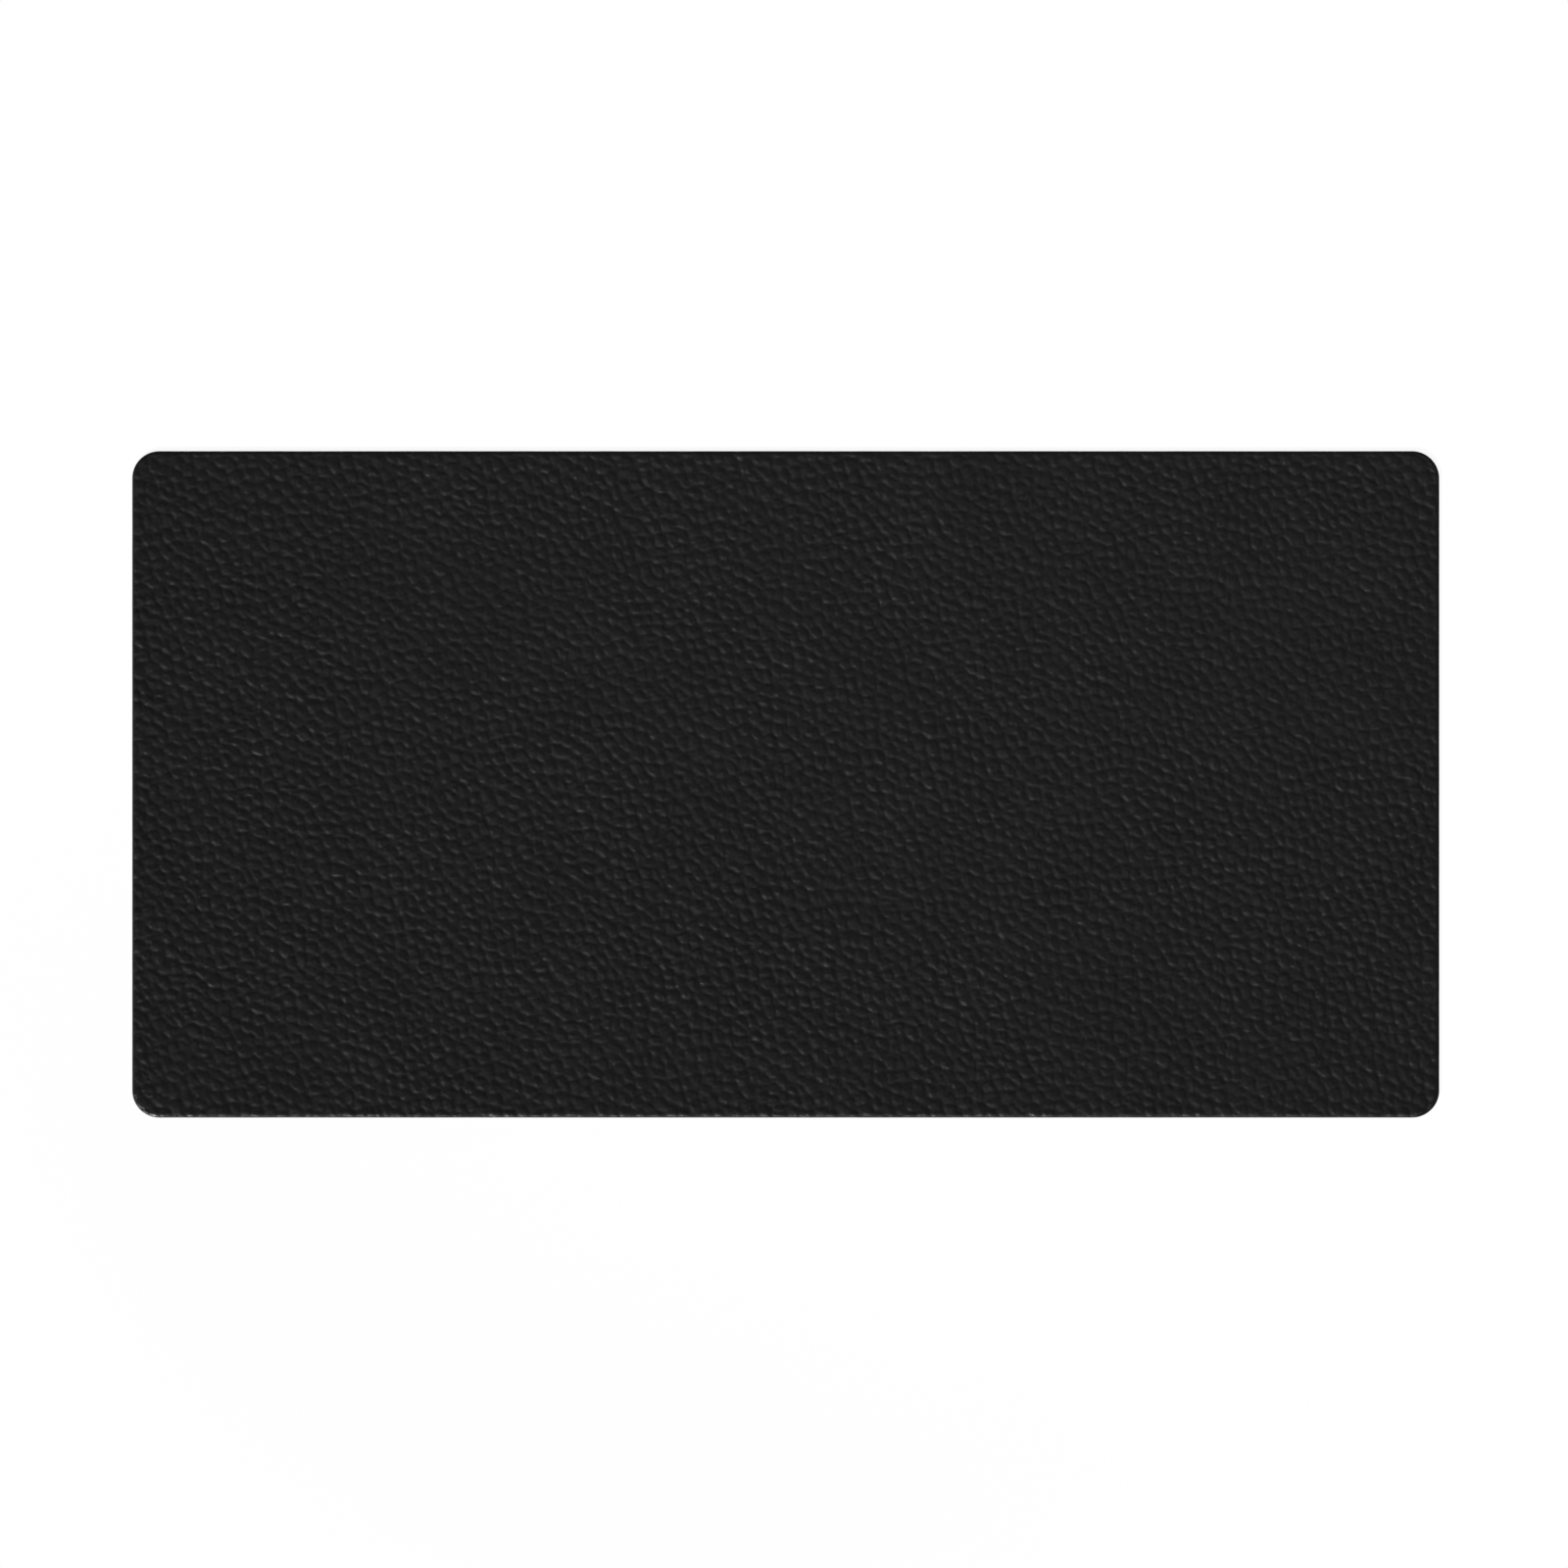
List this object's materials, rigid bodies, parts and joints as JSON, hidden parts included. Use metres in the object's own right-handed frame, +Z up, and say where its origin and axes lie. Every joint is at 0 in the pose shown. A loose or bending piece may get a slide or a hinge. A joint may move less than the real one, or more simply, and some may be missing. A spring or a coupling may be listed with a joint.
{
  "type": "desk mat",
  "caption": "Rounded rectangular desk mat: a pebble-grained leather face on cloth, a firm core and a non-slip suede base, glued flat, with a painted cut edge.",
  "frame": {"origin": "middle of the underside, on the desk", "axes": "+X along the width, +Y from the user's edge to the far edge, +Z up from the desk"},
  "size_m": [0.6, 0.306, 0.003],
  "materials": {
    "suede": "matte",
    "glue_film": "satin",
    "core": "matte",
    "backing_cloth": "matte",
    "leather": "satin",
    "edge_paint": "satin"
  },
  "bodies": {
    "root": {"suede_base": "suede", "lower_glue": "glue_film", "core_sheet": "core", "upper_glue": "glue_film", "skin_cloth": "backing_cloth", "grain_skin": "leather", "edge_paint": "edge_paint"}
  },
  "joints": []
}
